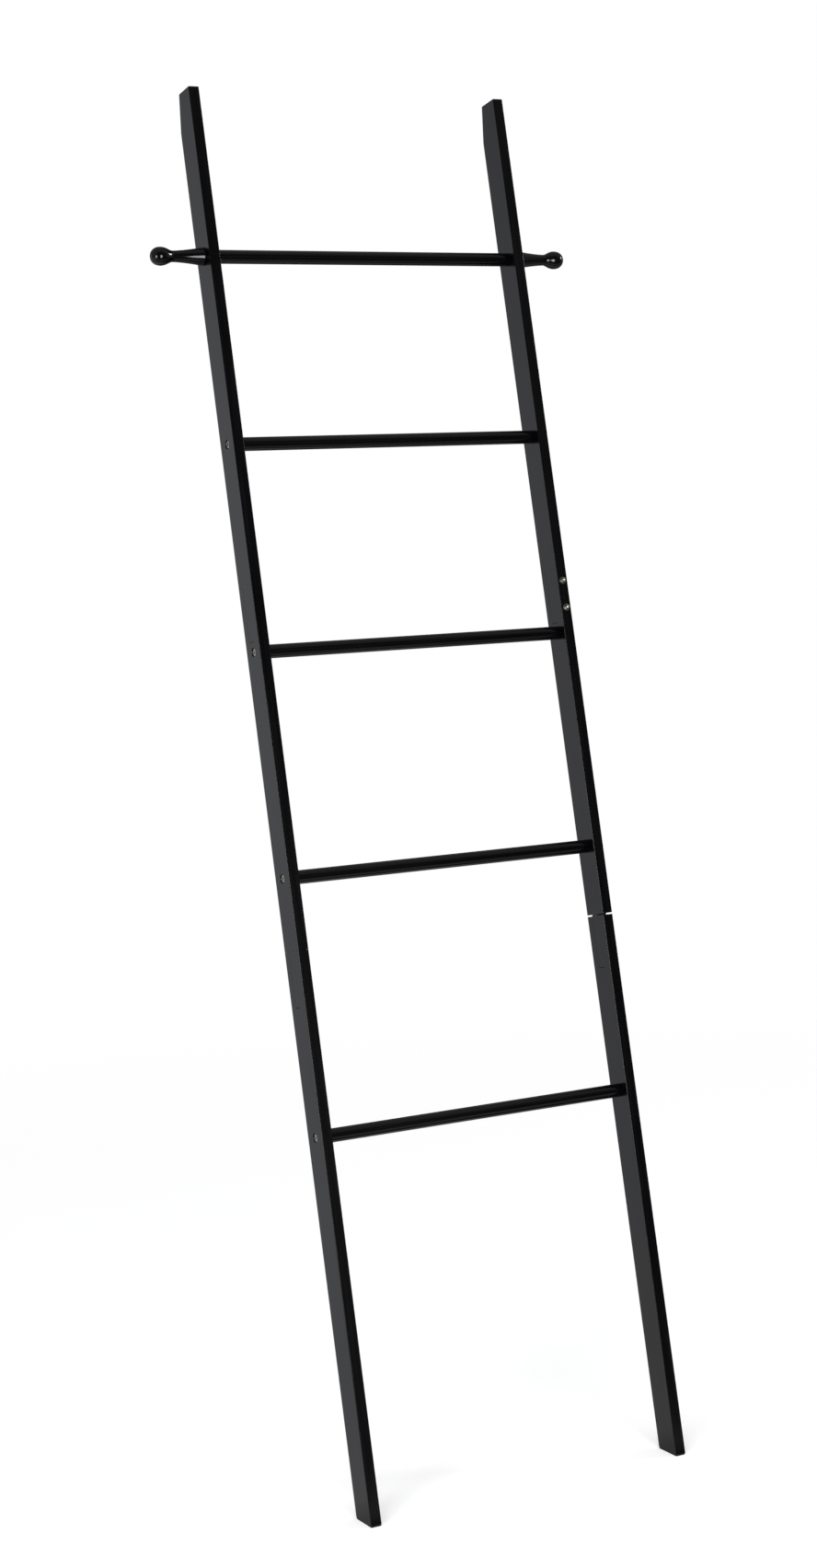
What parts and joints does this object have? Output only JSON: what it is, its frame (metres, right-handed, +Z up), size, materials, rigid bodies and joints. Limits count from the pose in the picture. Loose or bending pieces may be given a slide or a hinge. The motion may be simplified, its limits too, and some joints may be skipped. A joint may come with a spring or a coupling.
{
  "type": "towel ladder",
  "caption": "Leaning towel ladder of black lacquered wood, with round rungs between two spliced rails and a turned knob outside each rail at the top rung.",
  "frame": {"origin": "on the floor, midway between the rails and midway between the toe of the feet and the wall that the ladder leans on", "axes": "+X to the right across the ladder seen from the front, +Y back to the wall, +Z up"},
  "size_m": [0.5846, 0.3334, 1.7253],
  "materials": {
    "rail_lacquer": "black satin lacquer over solid wood",
    "rung_lacquer": "black satin lacquer over turned wood",
    "knob_lacquer": "black gloss lacquer over turned wood",
    "stud_steel": "zinc plated",
    "insert_brass": "plain",
    "screw_steel": "nickel plated button heads with a key socket",
    "pad_rubber": "matt anti-slip pad"
  },
  "bodies": {
    "root": {"left_rail_top": "rail_lacquer", "left_rail_middle": "rail_lacquer", "left_rail_bottom": "rail_lacquer", "right_rail_top": "rail_lacquer", "right_rail_middle": "rail_lacquer", "right_rail_bottom": "rail_lacquer", "rung_1": "rung_lacquer", "rung_2": "rung_lacquer", "rung_3": "rung_lacquer", "rung_4": "rung_lacquer", "rung_5": "rung_lacquer", "left_knob": "knob_lacquer", "right_knob": "knob_lacquer", "left_knob_stud": "stud_steel", "right_knob_stud": "stud_steel", "left_rung_inserts": "insert_brass", "right_rung_inserts": "insert_brass", "left_splice_inserts": "insert_brass", "right_splice_inserts": "insert_brass", "left_rung_screws": "screw_steel", "right_rung_screws": "screw_steel", "left_upper_splice_screws": "screw_steel", "left_lower_splice_screws": "screw_steel", "right_upper_splice_screws": "screw_steel", "right_lower_splice_screws": "screw_steel", "left_foot_pad": "pad_rubber", "right_foot_pad": "pad_rubber"}
  },
  "joints": []
}
